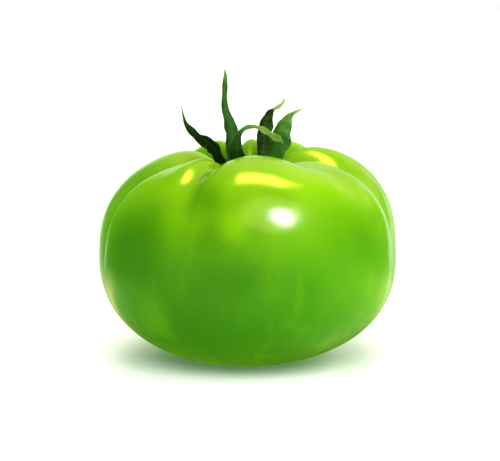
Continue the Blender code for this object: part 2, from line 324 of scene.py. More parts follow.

# Painted shade and painted light: patches where the skin is made darker or lighter than the lamps make it,
# such as the shade on the flank beside the left crease and the light on the upper right. Each has its middle,
# its reach to the sides and upwards, its share and its colour
SHADE_AND_LIGHT_PATCHES = (
    ((-0.034, -0.026, 0.038), (0.020, 0.024), 0.9, SKIN_DARK),
    ((-0.036, 0.002, 0.052), (0.018, 0.022), 0.9, SKIN_DARK),
    ((-0.0115, -0.034, 0.0500), (0.008, 0.012), 0.7, SKIN_DARK),
    ((-0.0035, -0.042, 0.0460), (0.007, 0.008), 0.75, SKIN_PALE),
    ((0.0310, -0.030, 0.0400), (0.018, 0.014), 0.6, SKIN_DARK),
    ((-0.0275, -0.032, 0.0420), (0.009, 0.024), 0.4, SKIN_DARK),
    ((-0.003, -0.044, 0.0310), (0.016, 0.009), 0.55, SKIN_LOW),
    ((-0.026, -0.034, 0.0310), (0.010, 0.016), 0.3, SKIN_DARK),
    ((0.029, -0.033, 0.0270), (0.016, 0.018), 0.09, SKIN_PALE),
    ((0.018, -0.027, 0.0575), (0.020, 0.012), 0.8, SKIN_PALE),
    ((0.024, -0.033, 0.0480), (0.014, 0.010), 0.4, SKIN_MIDDLE),
    ((0.039, -0.018, 0.0220), (0.014, 0.016), 0.30, SKIN_PALE),
    ((0.040, 0.002, 0.0530), (0.012, 0.014), 0.45, SKIN_DARK),
)

# The skin's colour: the heights between which its greens change, which is partly painted light above and
# painted shade below, then blotches, streaks and specks. A noise has a scale, detail and roughness. Of four
# numbers, the first two are mapped to the last two. The streaks' noise lies on a cylinder, stretched along
# it.
LOW_TO_MIDDLE = (0.008, 0.042)
MIDDLE_TO_TOP = (0.030, 0.056)
BLOTCHES = (52, 2.5, 0.45)
DARK_BLOTCHES = (0.50, 0.26, 0.0, 0.35)
PALE_BLOTCHES = (0.56, 0.80, 0.0, 0.25)
STREAKS = (170, 3.0, 0.55)
STREAK_RADIUS = 0.045
STREAK_STRETCH = 0.3
STREAK_SHARE = (0.50, 0.80, 0.0, 0.14)
STREAK_START = (0.006, 0.02)
SPECK_SCALE = 620.0
SPECK_SHARE = (0.20, 0.06, 0.0, 0.22)
SPECK_RISE = (0.02, 0.05, 0.4, 1.0)
# Painted shade in the creases: the share of dark green in each broad valley and of crease green in its groove
VALLEY_SHADE_SHARE = 0.6
CREASE_SHADE_SHARE = 0.85

# The cork on the skin: a ring round the calyx and the blossom scar, by distance from the axis, which a noise
# makes uneven, and the heights between which the scar gives way to the ring
CORK_NOISE = (700, 3.0, 0.6)
CORK_UNEVENNESS = 0.003
CORK_RING = (0.0072, 0.0050, 0.0, 0.75)
CORK_SCAR = (0.0042, 0.0024, 0.0, 0.95)
CORK_CHANGE = (0.030, 0.034)

# The skin's gloss: its roughness varies between two values and is higher where the skin is dull, and there
# the coat ends too. Its fine peel is a bump.
GLOSS_NOISE = (140, 3.0, 0.5)
SKIN_ROUGHNESS = (0.15, 0.27)
DULL_ROUGHNESS = 0.6
SKIN_COAT = 0.6
PEEL_NOISE = (900, 2.0, 0.5)
PEEL = {"Strength": 0.03, "Distance": 0.0004}
SKIN_SHADER = {
    "IOR": 1.42,
    "Coat Roughness": 0.15,
    "Sheen Weight": 0.14,
    "Sheen Roughness": 0.45,
    "Sheen Tint": (0.45, 1.0, 0.05, 1.0),
    "Subsurface Weight": 0.12,
    "Subsurface Radius": (0.35, 1.0, 0.12),
    "Subsurface Scale": 0.004,
}

# Where the skin is dull, behind the calyx and to its right: middle, reach to the sides and upwards, share
DULL_PATCHES = (
    ((0.0005, 0.0120, 0.0615), (0.012, 0.012), 1.0),
    ((0.0145, 0.0020, 0.0620), (0.008, 0.008), 1.0),
)

# The calyx: a mottle is added to each sepal's own green, which goes from dark through green to light between
# these values. Veins and a fine grain lie over it.
MOTTLE_NOISE = (900, 4.0, 0.6)
MOTTLE = (0.25, 0.75, -0.10, 0.10)
DARK_TO_GREEN = (0.0, 0.5)
GREEN_TO_LIGHT = (0.5, 1.0)
VEIN_SHARE = 0.15
CALYX_ROUGHNESS = (-0.1, 0.1, 0.5, 0.7)
VEIN_RELIEF = 0.6
GRAIN_NOISE = (2600, 3.0, 0.6)
GRAIN = {"Strength": 0.25, "Distance": 0.00015}
CALYX_SHADER = {
    "Specular IOR Level": 0.15,
    "Sheen Weight": 0.04,
    "Sheen Roughness": 0.4,
    "Sheen Tint": (0.6, 1.0, 0.4, 1.0),
}

# The hairs' colour is between light and pale, by a noise
HAIR_NOISE = (3000, 1.0)
HAIR_TINT = (0.3, 0.7)
HAIR_ROUGHNESS = 0.4

# The floor: half its side, how far it lies under the fruit, and its roughness
FLOOR_REACH = 3.0
FLOOR_DROP = 0.00002
FLOOR_ROUGHNESS = 0.9

# The lights. Softboxes and windows: name, degrees to the right of the camera, degrees up, distance, size,
# spin in degrees, shape, colour, watts. Washes: name, degrees to the right, degrees up, angle across, colour,
# strength.
LIGHT_TARGET = Vector((0.0, 0.0, 0.045))
WASH_DISTANCE = 1.0
SOFTBOXES = (
    ("softbox", 32.6, 39, 0.60, (0.16, 0.27), 0, "ELLIPSE", (1.0, 1.0, 1.0), 2.4),
    ("softbox_glow", 21, 46, 0.60, (0.50, 0.60), 0, "ELLIPSE", (1.0, 0.87, 0.22), 1.6),
    ("window", 157, 78, 0.57, (0.335, 0.145), 10, "RECTANGLE", (1.0, 0.95, 0.09), 2.65),
    ("strip", 147, 4, 0.60, (0.05, 0.45), 0, "RECTANGLE", (1.0, 1.0, 0.9), 0.07),
)
WASHES = (
    ("key_wash", 20, 16, 60, (1.0, 1.0, 0.4), 0.57),
    ("left_wash", -135, 4, 45, (0.7, 1.0, 0.5), 0.6),
    ("right_wash", 124, -6, 45, (1.0, 1.0, 0.5), 0.7),
    ("low_right_wash", 84, -25, 40, (1.0, 0.96, 0.45), 2.8),
    ("low_left_wash", -108, -5, 40, (0.58, 1.0, 0.3), 2.8),
)
FLOOR_WASHES = (
    ("floor_overhead", 0, 88, 40, (1.0, 1.0, 1.0), 1.05),
    ("floor_front", 0, 39, 48, (1.0, 1.0, 1.0), 3.8),
    ("floor_back", 180, 45, 40, (1.0, 1.0, 1.0), 0.7),
    ("floor_right", 90, 30, 50, (1.0, 1.0, 1.0), 1.3),
)

# Weak light on the floor that nothing blocks, for the light that comes through the fruit
FLOOR_GLOW = ("floor_glow", 0, 80, 30, (0.62, 0.95, 0.60), 0.54)

# The surroundings that the fruit is lit by and reflects, as regions of direction: X to the right, Y to the
# back, Z up. Each region starts at the first number of a pair and is full at the second. WORLD_FRONT is what
# lies outside all of them.
WORLD_FRONT = (0.06, 0.12, 0.006, 1.0)

# The ground: dim, low to both sides and behind, and on the left not quite down to the nadir
WORLD_GROUND = (0.38, 0.55, 0.17, 1.0)
GROUND_RIGHT_X = (0.10, 0.50)
GROUND_LEFT_X = (-0.15, -0.70)
GROUND_LEFT_Z = (-0.70, -0.35)
GROUND_Y = (-0.20, 0.50)
GROUND_Z = (-0.15, -0.40)

# The table: a bright low band to both sides, behind
WORLD_TABLE = (1.15, 1.15, 0.50, 1.0)
TABLE_RIGHT_X = (0.10, 0.40)
TABLE_LEFT_X = (-0.12, -0.36)
TABLE_Y = (0.42, 0.92)
TABLE_TOP_Z = (-0.12, -0.28)
TABLE_FOOT_Z = (-0.43, -0.29)

# The glow: warm, behind and above, but not on the left
WORLD_GLOW = (0.92, 0.72, 0.27, 1.0)
GLOW_X = (-0.35, -0.10)
GLOW_Y = (0.35, 0.65)
GLOW_Z = (0.22, 0.42)

# The back: straight behind, down to just below the horizon. A share of it is left in the shade, at the upper
# left.
WORLD_BACK = (0.75, 0.94, 0.50, 1.0)
BACK_Y = (0.80, 0.97)
BACK_Z = (-0.30, -0.12)
SHADE_X = (-0.20, -0.38)
SHADE_Z = (-0.12, 0.05)
LEFT_IN_SHADE = 0.2


def ease(low, high, x):
    t = min(max((x - low) / (high - low), 0.0), 1.0)
    return t * t * (3 - 2 * t)


def smooth_curve(stations, x):
    """The values at x on a smooth curve through stations, whose first number is their place on it."""
    last = len(stations) - 1
    i = max(k for k in range(last) if k == 0 or stations[k][0] <= x)

    def slopes(k):
        before, after = stations[max(k - 1, 0)], stations[min(k + 1, last)]
        return [(b - a) / (after[0] - before[0]) for a, b in zip(before[1:], after[1:])]

    here, there = stations[i], stations[i + 1]
    span = there[0] - here[0]
    t = min(max((x - here[0]) / span, 0.0), 1.0)
    weights = (2 * t**3 - 3 * t**2 + 1, t**3 - 2 * t**2 + t, 3 * t**2 - 2 * t**3, t**3 - t**2)
    parts = zip(here[1:], slopes(i), there[1:], slopes(i + 1))
    return [
        weights[0] * a + weights[1] * span * da + weights[2] * b + weights[3] * span * db
        for a, da, b, db in parts
    ]


# Meshes

def loft(name, rings, attributes):
    """A closed mesh through rings of points, which starts and ends in rings of a single point.

    Each attribute is a list of rings too, with a number for each point.
    """
    starts = [0]
    for ring in rings:
        starts.append(starts[-1] + len(ring))
    faces = []
    for here, there, ring, after in zip(starts, starts[1:], rings, rings[1:]):
        sides = max(len(ring), len(after))
        for i in range(sides):
            j = (i + 1) % sides
            low = here + i % len(ring), here + j % len(ring)
            high = there + j % len(after), there + i % len(after)
            faces.append(tuple(dict.fromkeys(low + high)))
    mesh = bpy.data.meshes.new(name)
    mesh.from_pydata([point for ring in rings for point in ring], [], faces)
    for key, values in attributes.items():
        layer = mesh.attributes.new(key, "FLOAT", "POINT")
        layer.data.foreach_set("value", [value for ring in values for value in ring])
    mesh.shade_smooth()
    return mesh


def add_piece(name, mesh, finish, node):
    """A visible piece on the root body, which stands for a node of the frame."""
    piece = bpy.data.objects.new(name, mesh)
    bpy.context.scene.collection.objects.link(piece)
    mesh.materials.append(finish)
    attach(piece, "root")
    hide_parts(node)
    return piece


# The fruit

def profile(latitude):
    """Distance from the axis and height of the body, without its lobes, at a latitude in degrees."""
    rise, fullness = (TOP_RISE, TOP_FULLNESS) if latitude > 0 else (BOTTOM_DROP, BOTTOM_FULLNESS)
    out = math.cos(math.radians(latitude))
    up = math.sin(math.radians(latitude))
    reach = ((out / FRUIT_RADIUS) ** fullness + (abs(up) / rise) ** fullness) ** (-1 / fullness)
    radius = reach * out
    height = EQUATOR_HEIGHT + reach * up
    if latitude > 0:
        height -= CAVITY_DEPTH * math.exp(-((radius / CAVITY_RADIUS) ** 2))
    else:
        height += SCAR_DEPTH * math.exp(-((radius / SCAR_RADIUS) ** 2))
    return radius, height


def profile_normal(latitude):
    """The direction out of the body's profile, as shares along the radius and up."""
    above = profile(min(latitude + NORMAL_STEP, 90))
    below = profile(max(latitude - NORMAL_STEP, -90))
    along = Vector((above[0] - below[0], above[1] - below[1])).normalized()
    return along.y, -along.x


def column_place(turn):
    """The lobe at a share of a turn, the azimuth there, the share of the lobe before it, and its width.

    The azimuth and the width are in degrees. Columns crowd towards the creases.
    """
    lobe = int(turn * len(LOBES)) % len(LOBES)
    share = turn * len(LOBES) - int(turn * len(LOBES))
    start = LOBES[lobe][0]
    width = (LOBES[(lobe + 1) % len(LOBES)][0] - start) % 360
    crowded = share - COLUMN_CROWDING * math.sin(2 * math.pi * share) / (2 * math.pi)
    return lobe, start + width * crowded, crowded, width


def bump(x, middle, spread):
    """A smooth rise from 0 to 1 and back, round a middle."""
    return math.cos(math.pi / 2 * min(abs(x - middle) / spread, 1.0)) ** 2


def lobe_relief(latitude, lobe, share):
    """How far the skin stands out of the body, and how far into a crease it is, from 0 to 1."""
    _, depth, lowest, shoulder, cheek, power_before, power_after = LOBES[lobe]
    _, next_depth, next_lowest, *_ = LOBES[(lobe + 1) % len(LOBES)]
    sharp_power = power_before + (power_after - power_before) * ease(0, 1, share)
    depth += (next_depth - depth) * ease(0, 1, share)
    lowest += (next_lowest - lowest) * ease(0, 1, share)
    across = max(math.sin(math.pi * share), 0.0)
    power = GENTLE_POWER + (sharp_power - GENTLE_POWER) * ease(lowest, lowest + CREASE_SHARPENING, latitude)
    pinch = ease(lowest, SHOULDER_LATITUDE, latitude) * (1 - across**power)
    crest = shoulder * bump(latitude, SHOULDER_LATITUDE, SHOULDER_SPREAD)
    crest += cheek * bump(latitude, CHEEK_LATITUDE, CHEEK_SPREAD)
    return (crest * across - depth * pinch) * ease(90, 90 - TOP_FADE, latitude), pinch


def swelling_at(point):
    """How far the swelling lifts the skin at a point."""
    middle, reach, height = SWELLING
    return height * math.exp(-sum(((point[i] - middle[i]) / reach[i]) ** 2 for i in range(3)))


def skin_ring(latitude, columns):
    """The skin's points at a latitude, and how deep each is in a crease's groove and in its broad valley."""
    radius, height = profile(latitude)
    outward, upward = profile_normal(latitude)
    groove_here = GROOVE_DEPTH * ease(*GROOVE_LATITUDES, latitude) * ease(90, 90 - TOP_FADE, latitude)
    points, creases, valleys = [], [], []
    for turn, lobe, azimuth, share, width in columns:
        lean = 2 * math.pi * WANDERS * turn + WANDER_LEAN * math.radians(latitude)
        angle = math.radians(azimuth + CREASE_WANDER * math.sin(lean))
        relief, pinch = lobe_relief(latitude, lobe, share)
        off_crease = min(share, 1 - share) * math.radians(width) * radius
        groove = math.exp(-((off_crease / GROOVE_WIDTH) ** 2))
        relief -= groove_here * groove
        direction = Vector((math.cos(angle), math.sin(angle), 0))
        point = direction * radius + Vector((0, 0, height))
        for size, wavelength in UNDULATIONS:
            relief += size * noise.noise(point / wavelength)
        normal = direction * outward + Vector((0, 0, upward))
        point += normal * relief
        point += normal * swelling_at(point)
        point.z = max(point.z, 0.0)
        points.append(point)
        creases.append(pinch * groove)
        valleys.append(pinch * math.exp(-((off_crease / VALLEY_WIDTH) ** 2)))
    return points, creases, valleys


def fit_to_node(rings, node):
    """Stretches the points by well under 1%, so that their box is that of the solid they stand for."""
    low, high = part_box(node)
    points = [point for ring in rings for point in ring]
    for axis in range(3):
        values = [point[axis] for point in points]
        least, most = min(values), max(values)
        stretch = (high[axis] - low[axis]) / (most - least)
        for point in points:
            point[axis] = low[axis] + (point[axis] - least) * stretch


def build_skin():
    columns = []
    count = SKIN_COLUMNS_PER_LOBE * len(LOBES)
    for i in range(count):
        lobe, azimuth, share, width = column_place(i / count)
        columns.append((i / count, lobe, azimuth, share, width))
    rings, creases, valleys = [], [], []
    for i in range(SKIN_RINGS + 1):
        latitude = -90 + 180 * i / SKIN_RINGS
        at_pole = i in (0, SKIN_RINGS)
        made = skin_ring(latitude, columns[:1] if at_pole else columns)
        for rows, row in zip((rings, creases, valleys), made):
            rows.append(row)
    fit_to_node(rings, "fruit")
    return loft("skin", rings, {"crease": creases, "valley": valleys})


# The calyx

def sepal_ribs(azimuth, stations, count):
    """The ribs across a sepal, from root to tip: midline point, forward, sideways, outward, half width."""
    numbered = [(i, *row) for i, row in enumerate(stations)]
    steps = (count - 1) * BLADE_SUBSTEPS
    angle = math.radians(azimuth)
    sideways = Vector((-math.sin(angle), math.cos(angle), 0))
    places = [i * (len(stations) - 1) / steps for i in range(steps + 1)]
    rows = [smooth_curve(numbered, place) for place in places]
    points = [Vector(row[:3]) for row in rows]
    ribs = []
    for i, (*_, half_width, roll) in enumerate(rows):
        forward = (points[min(i + 1, steps)] - points[max(i - 1, 0)]).normalized()
        sideways = (sideways - forward * sideways.dot(forward)).normalized()
        if i % BLADE_SUBSTEPS == 0:
            turned = Matrix.Rotation(math.radians(roll), 3, forward) @ sideways
            ribs.append((points[i], forward, turned, forward.cross(turned), max(half_width, TIP_HALF_WIDTH)))
    return ribs


def stand_clear(point, skin, clearance):
    """The point, moved out of the skin where it would be too near it."""
    near, normal, _, _ = skin.find_nearest(point)
    height = (point - near).dot(normal)
    return point + normal * (clearance - height) if height < clearance else point


def blade_point(rib, along, across, face, seed, skin):
    """A point of a blade, on its inner face (1), its outer face (-1) or its edge (0)."""
    middle, _, turned, inward, half_width = rib
    place = Vector((along * WOBBLE_SCALE, math.copysign(WOBBLE_APART, across), seed))
    wobble = 1 + EDGE_WOBBLE * noise.noise(place)
    reach = half_width * wobble * across
    thickness = HALF_THICKNESS[0] + (HALF_THICKNESS[1] - HALF_THICKNESS[0]) * along
    thickness *= (1 - abs(across) ** SECTION_FULLNESS) ** 0.5
    ruffle = RUFFLE * across**2 * min(half_width / RUFFLE_FULL_AT, 1)
    ruffle *= math.sin(2 * math.pi * RUFFLES * along + seed + RUFFLE_OFFSET * math.copysign(1, across))
    rib_shape = math.exp(-((reach / MIDRIB_WIDTH) ** 2)) * min(half_width / MIDRIB_FULL_AT, 1)
    depth = ruffle - SEPAL_CUP * half_width * across**2
    depth += face * thickness - MIDRIB_HEIGHT * rib_shape * (MIDRIB_INSIDE if face > 0 else 1.0)
    return stand_clear(middle + turned * reach + inward * depth, skin, SKIN_CLEARANCE + face * thickness)


def build_blade(name, seed, skin):
    """One sepal's mesh, closed all round, and its ribs."""
    azimuth, stations = SEPALS[name]
    ribs = sepal_ribs(azimuth, stations, BLADE_RIBS)
    shares = [math.sin(math.pi / 2 * (2 * i / BLADE_ACROSS - 1)) for i in range(BLADE_ACROSS + 1)]
    section = [(share, 0 if abs(share) > EDGE_SHARE else -1) for share in shares]
    section += [(share, 1) for share in reversed(shares[1:-1])]
    rings, greens, pales, veins = [], [], [], []
    for i, rib in enumerate(ribs):
        along = i / (BLADE_RIBS - 1)
        # The green holds painted shade and painted light for this sepal
        _, green, pale = green_at(SEPAL_GREENS_AND_SHADE[name], along)
        rings.append([blade_point(rib, along, across, face, seed, skin) for across, face in section])
        greens.append([green] * len(section))
        pales.append([pale] * len(section))
        veins.append([vein_at(rib, along, across) for across, _ in section])
    for rows, point in ((rings, ribs[0][0]), (greens, greens[0][0]), (pales, 0.0), (veins, 1.0)):
        rows.insert(0, [point])
    tip = ribs[-1][0] + ribs[-1][1] * TIP_HALF_WIDTH
    for rows, point in ((rings, tip), (greens, greens[-1][0]), (pales, pales[-1][0]), (veins, 0.0)):
        rows.append([point])
    return loft("sepal_" + name, rings, {"green": greens, "pale": pales, "vein": veins}), ribs


def green_at(stops, along):
    """The stop at a share of a sepal's length, worked out between the stops given."""
    after = next(i for i in range(1, len(stops)) if stops[i][0] >= along or i == len(stops) - 1)
    here, there = stops[after - 1], stops[after]
    share = ease(here[0], there[0], along)
    return [a + (b - a) * share for a, b in zip(here, there)]


def vein_at(rib, along, across):
    """How much of a vein is at a point of a blade: the midrib, the side veins or the pale edge."""
    half_width = rib[4]
    midrib = math.exp(-((across * half_width / MIDRIB_WIDTH) ** 2))
    slanted = along * SIDE_VEINS - abs(across) * SIDE_VEIN_SLANT
    side = max(math.cos(2 * math.pi * slanted), 0) ** SIDE_VEIN_SHARPNESS
    side *= min(half_width / SIDE_VEIN_FULL_AT, 1) * (1 - abs(across))
    edge = ease(*PALE_EDGE, abs(across))
    return max(midrib, SIDE_VEIN_SHARE * side, PALE_EDGE_SHARE * edge)


def hair_rings(root, direction, length, rng):
    """A hair as a slender spindle, from a point inside the blade to its tip."""
    side = direction.orthogonal().normalized()
    other = direction.cross(side)
    turn = rng.random() * math.tau
    foot = []
    for k in range(HAIR_SIDES):
        angle = turn + math.tau * k / HAIR_SIDES
        foot.append(root + (side * math.cos(angle) + other * math.sin(angle)) * HAIR_RADIUS)
    return [[root - direction * length * HAIR_ROOT], foot, [root + direction * length]]


def build_hairs(blades):
    """All the hairs as one mesh: a short fuzz on the faces and edges of the sepals."""
    rng = random.Random(HAIR_SEED)
    points, faces = [], []
    for ribs in blades:
        for _ in range(HAIRS_PER_SEPAL):
            middle, forward, turned, inward, half_width = ribs[int(rng.uniform(*HAIRY_PART) * len(ribs))]
            across = rng.choice((-1, 1)) * (1 - rng.random() ** HAIR_CROWDING * HAIR_REACH)
            face = rng.choice((-1, 1))
            root = middle + turned * half_width * across * HAIR_INSET
            root -= inward * SEPAL_CUP * half_width * across**2
            direction = inward * face * rng.uniform(*HAIR_LEAN) + turned * across * rng.uniform(*HAIR_LEAN)
            direction = (direction + forward * rng.uniform(*HAIR_FORWARD)).normalized()
            low, foot, tip = hair_rings(root, direction, rng.uniform(*HAIR_LENGTHS), rng)
            first = len(points)
            points += low + foot + tip
            for k in range(HAIR_SIDES):
                here, there = first + 1 + k, first + 1 + (k + 1) % HAIR_SIDES
                faces += [(first, there, here), (here, there, first + 1 + HAIR_SIDES)]
    mesh = bpy.data.meshes.new("hairs")
    mesh.from_pydata(points, [], faces)
    return mesh


def turned_ring(radius, height, swell):
    """A ring of points round the axis, whose radius a function of the angle changes."""
    angles = [math.tau * i / TURNED_SIDES for i in range(TURNED_SIDES)]
    return [
        Vector((radius * swell(a) * math.cos(a), radius * swell(a) * math.sin(a), height)) for a in angles
    ]


def towards_sepals(angle):
    """The receptacle's outline, which swells where each sepal grows from it."""
    nearest = max(math.cos(angle - math.radians(azimuth)) for azimuth, _ in SEPALS.values())
    return 1 + RECEPTACLE_SWELL * (2 * nearest**RECEPTACLE_SWELL_POWER - 1)


def ribbed(angle):
    """The pedicel's outline, with shallow ribs and lumps."""
    across, along = math.cos(angle) * PEDICEL_LUMP_SCALE, math.sin(angle) * PEDICEL_LUMP_SCALE
    lumps = noise.noise(Vector((across, along, PEDICEL_LUMP_PLACE)))
    return 1 + PEDICEL_RIB_DEPTH * math.cos(PEDICEL_RIBS * angle) + PEDICEL_LUMP_DEPTH * lumps


def receptacle_base(skin):
    """The height that the receptacle starts at, just over the skin under its rim."""
    highest = 0.0
    for i in range(PROBES):
        angle = math.tau * i / PROBES
        across, along = RECEPTACLE_RADIUS * math.cos(angle), RECEPTACLE_RADIUS * math.sin(angle)
        start = Vector((across, along, PROBE_HEIGHT))
        highest = max(highest, skin.ray_cast(start, Vector((0, 0, -1)))[0].z)
    return highest + RECEPTACLE_GAP


def build_receptacle(skin):
    base = receptacle_base(skin)
    rings = [[Vector((0, 0, base - RECEPTACLE_DROP))]]
    for out, up in RECEPTACLE_OUTLINE:
        rings.append(turned_ring(RECEPTACLE_RADIUS * out, base + RECEPTACLE_THICKNESS * up, towards_sepals))
    rings.append([Vector((0, 0, base + RECEPTACLE_THICKNESS))])
    flat = [[0.0] * len(ring) for ring in rings]
    greens = [[RECEPTACLE_GREEN] * len(ring) for ring in rings]
    return loft("receptacle", rings, {"green": greens, "pale": flat, "vein": flat}), base


def build_pedicel(base):
    """The pedicel's broken end, which stands in the receptacle with its root sunk in it."""
    top = base + RECEPTACLE_THICKNESS
    rings = [[Vector((0, 0, top - PEDICEL_DROP))]]
    greens = [[PEDICEL_GREENS["root"]]]
    for out, up in PEDICEL_OUTLINE:
        ring = turned_ring(PEDICEL_RADIUS * out, top + PEDICEL_LENGTH * up - PEDICEL_SINK, ribbed)
        rings.append(ring)
        greens.append([PEDICEL_GREENS["side"]] * len(ring))
    rings.append([Vector((0, 0, top + PEDICEL_LENGTH * PEDICEL_FACE_HEIGHT - PEDICEL_SINK))])
    greens.append([PEDICEL_GREENS["face"]])
    flat = [[0.0] * len(ring) for ring in rings]
    pales = flat[:-PEDICEL_FACE_RINGS]
    pales += [[PEDICEL_FACE_PALENESS] * len(ring) for ring in rings[-PEDICEL_FACE_RINGS:]]
    return loft("pedicel", rings, {"green": greens, "pale": pales, "vein": flat})


# Materials

def new_material(name):
    made = bpy.data.materials.new(name)
    made.use_nodes = True
    return made, made.node_tree, made.node_tree.nodes["Principled BSDF"]


def add_node(tree, kind, inputs, **settings):
    """A shader node, with its settings, and its inputs by name or number: a socket is linked, a value set."""
    made = tree.nodes.new("ShaderNode" + kind)
    for key, value in settings.items():
        setattr(made, key, value)
    for key, value in inputs.items():
        if isinstance(value, bpy.types.NodeSocket):
            tree.links.new(value, made.inputs[key])
        else:
            made.inputs[key].default_value = value
    return made


def maths(tree, operation, a, b=0.0):
    return add_node(tree, "Math", {0: a, 1: b}, operation=operation).outputs[0]


def product(tree, value, *others):
    """The value times all the others."""
    for other in others:
        value = maths(tree, "MULTIPLY", value, other)
    return value


def vector_maths(tree, operation, inputs, output="Vector"):
    return add_node(tree, "VectorMath", inputs, operation=operation).outputs[output]


def blend(tree, factor, a, b):
    """Colour a where the factor is 0, and b where it is 1."""
    made = add_node(tree, "Mix", {"Factor": factor}, data_type="RGBA")
    for key, value in ((6, a), (7, b)):
        if isinstance(value, bpy.types.NodeSocket):
            tree.links.new(value, made.inputs[key])
        else:
            made.inputs[key].default_value = value
    return made.outputs[2]


def spread(tree, value, low, high, to_low=0.0, to_high=1.0):
    """The value mapped smoothly from one range to another."""
    inputs = {"Value": value, "From Min": low, "From Max": high, "To Min": to_low, "To Max": to_high}
    return add_node(tree, "MapRange", inputs, interpolation_type="SMOOTHSTEP").outputs["Result"]


def noise_at(tree, vector, scale, detail=2.0, roughness=0.5):
    inputs = {"Vector": vector, "Scale": scale, "Detail": detail, "Roughness": roughness}
    return add_node(tree, "TexNoise", inputs).outputs["Fac"]


def attribute(tree, name):
    return add_node(tree, "Attribute", {}, attribute_name=name).outputs["Fac"]


def grey(value):
    return value, value, value, 1.0


def set_values(shader, values):
    for key, value in values.items():
        shader.inputs[key].default_value = value


def add_bump(tree, shader, height, settings):
    bumped = add_node(tree, "Bump", {"Height": height, **settings}).outputs[0]
    tree.links.new(bumped, shader.inputs["Normal"])


def skin_colour(tree, place):
    """Yellower above and greener below, partly painted light and shade, with blotches, streaks, specks,
    creases and patches of painted shade and light, and cork.
    """
    parts = add_node(tree, "SeparateXYZ", {"Vector": place})
    height = parts.outputs["Z"]
    flat = {"X": parts.outputs["X"], "Y": parts.outputs["Y"], "Z": 0.0}
    level = add_node(tree, "CombineXYZ", flat).outputs[0]
    radius = vector_maths(tree, "LENGTH", {0: level}, "Value")

    # Lighter upwards: partly own tone, partly painted light on the top and painted shade low down
    colour = blend(tree, spread(tree, height, *LOW_TO_MIDDLE), SKIN_LOW, SKIN_MIDDLE)
    colour = blend(tree, spread(tree, height, *MIDDLE_TO_TOP), colour, SKIN_TOP)
    blotches = noise_at(tree, place, *BLOTCHES)
    colour = blend(tree, spread(tree, blotches, *DARK_BLOTCHES), colour, SKIN_DARK)
    colour = blend(tree, spread(tree, blotches, *PALE_BLOTCHES), colour, SKIN_PALE)
    colour = blend(tree, streaks_at(tree, level, radius, height), colour, SKIN_PALE)
    cells = add_node(tree, "TexVoronoi", {"Vector": place, "Scale": SPECK_SCALE}).outputs["Distance"]
    specks = product(tree, spread(tree, cells, *SPECK_SHARE), spread(tree, height, *SPECK_RISE))
    colour = blend(tree, specks, colour, SKIN_PALE)

    # Painted shade along the creases' valleys and grooves
    colour = blend(tree, product(tree, attribute(tree, "valley"), VALLEY_SHADE_SHARE), colour, SKIN_DARK)
    colour = blend(tree, product(tree, attribute(tree, "crease"), CREASE_SHADE_SHARE), colour, CREASE_SHADE_GREEN)
    # Patches of painted shade and painted light
    for middle, reach, share, tint in SHADE_AND_LIGHT_PATCHES:
        colour = blend(tree, patch(tree, place, middle, reach, share), colour, tint)
    return blend(tree, skin_cork(tree, place, radius, height), colour, CORK)


def streaks_at(tree, level, radius, height):
    """The share of the fine pale streaks, which run down the fruit from near its axis."""
    lengthwise = add_node(tree, "CombineXYZ", {"Z": product(tree, height, STREAK_STRETCH)}).outputs[0]
    round_axis = vector_maths(tree, "NORMALIZE", {0: level})
    scaled = vector_maths(tree, "SCALE", {0: round_axis, 3: STREAK_RADIUS})
    streaks = noise_at(tree, vector_maths(tree, "ADD", {0: scaled, 1: lengthwise}), *STREAKS)
    return product(tree, spread(tree, streaks, *STREAK_SHARE), spread(tree, radius, *STREAK_START))


def patch(tree, place, middle, reach, share):
    """The share of a patch at a point of the skin, which falls smoothly to 0 at its reach."""
    away = vector_maths(tree, "SUBTRACT", {0: place, 1: middle})
    shrink = (1 / reach[0], 1 / reach[0], 1 / reach[1])
    scaled = vector_maths(tree, "MULTIPLY", {0: away, 1: shrink})
    distance = vector_maths(tree, "LENGTH", {0: scaled}, "Value")
    return spread(tree, distance, 1.0, 0.0, 0.0, share)


def skin_cork(tree, place, radius, height):
    """Where the skin is corky: a ring round the calyx, and the blossom scar underneath."""
    reach = maths(tree, "ADD", radius, product(tree, noise_at(tree, place, *CORK_NOISE), CORK_UNEVENNESS))
    above = spread(tree, height, *CORK_CHANGE)
    ring = product(tree, spread(tree, reach, *CORK_RING), above)
    scar = product(tree, spread(tree, reach, *CORK_SCAR), maths(tree, "SUBTRACT", 1.0, above))
    return maths(tree, "ADD", ring, scar)


def skin_material():
    """The waxy skin, glossy but for its dull patches."""
    made, tree, shader = new_material("green_skin")
    place = add_node(tree, "TexCoord", {}).outputs["Object"]
    tree.links.new(skin_colour(tree, place), shader.inputs["Base Color"])
    dull = maths(tree, "MAXIMUM", *(patch(tree, place, *row) for row in DULL_PATCHES))
    gloss = blend(tree, noise_at(tree, place, *GLOSS_NOISE), *(grey(value) for value in SKIN_ROUGHNESS))
    tree.links.new(blend(tree, dull, gloss, grey(DULL_ROUGHNESS)), shader.inputs["Roughness"])
    tree.links.new(spread(tree, dull, 0.0, 1.0, SKIN_COAT, 0.0), shader.inputs["Coat Weight"])
    set_values(shader, SKIN_SHADER)
    add_bump(tree, shader, noise_at(tree, place, *PEEL_NOISE), PEEL)
    return made


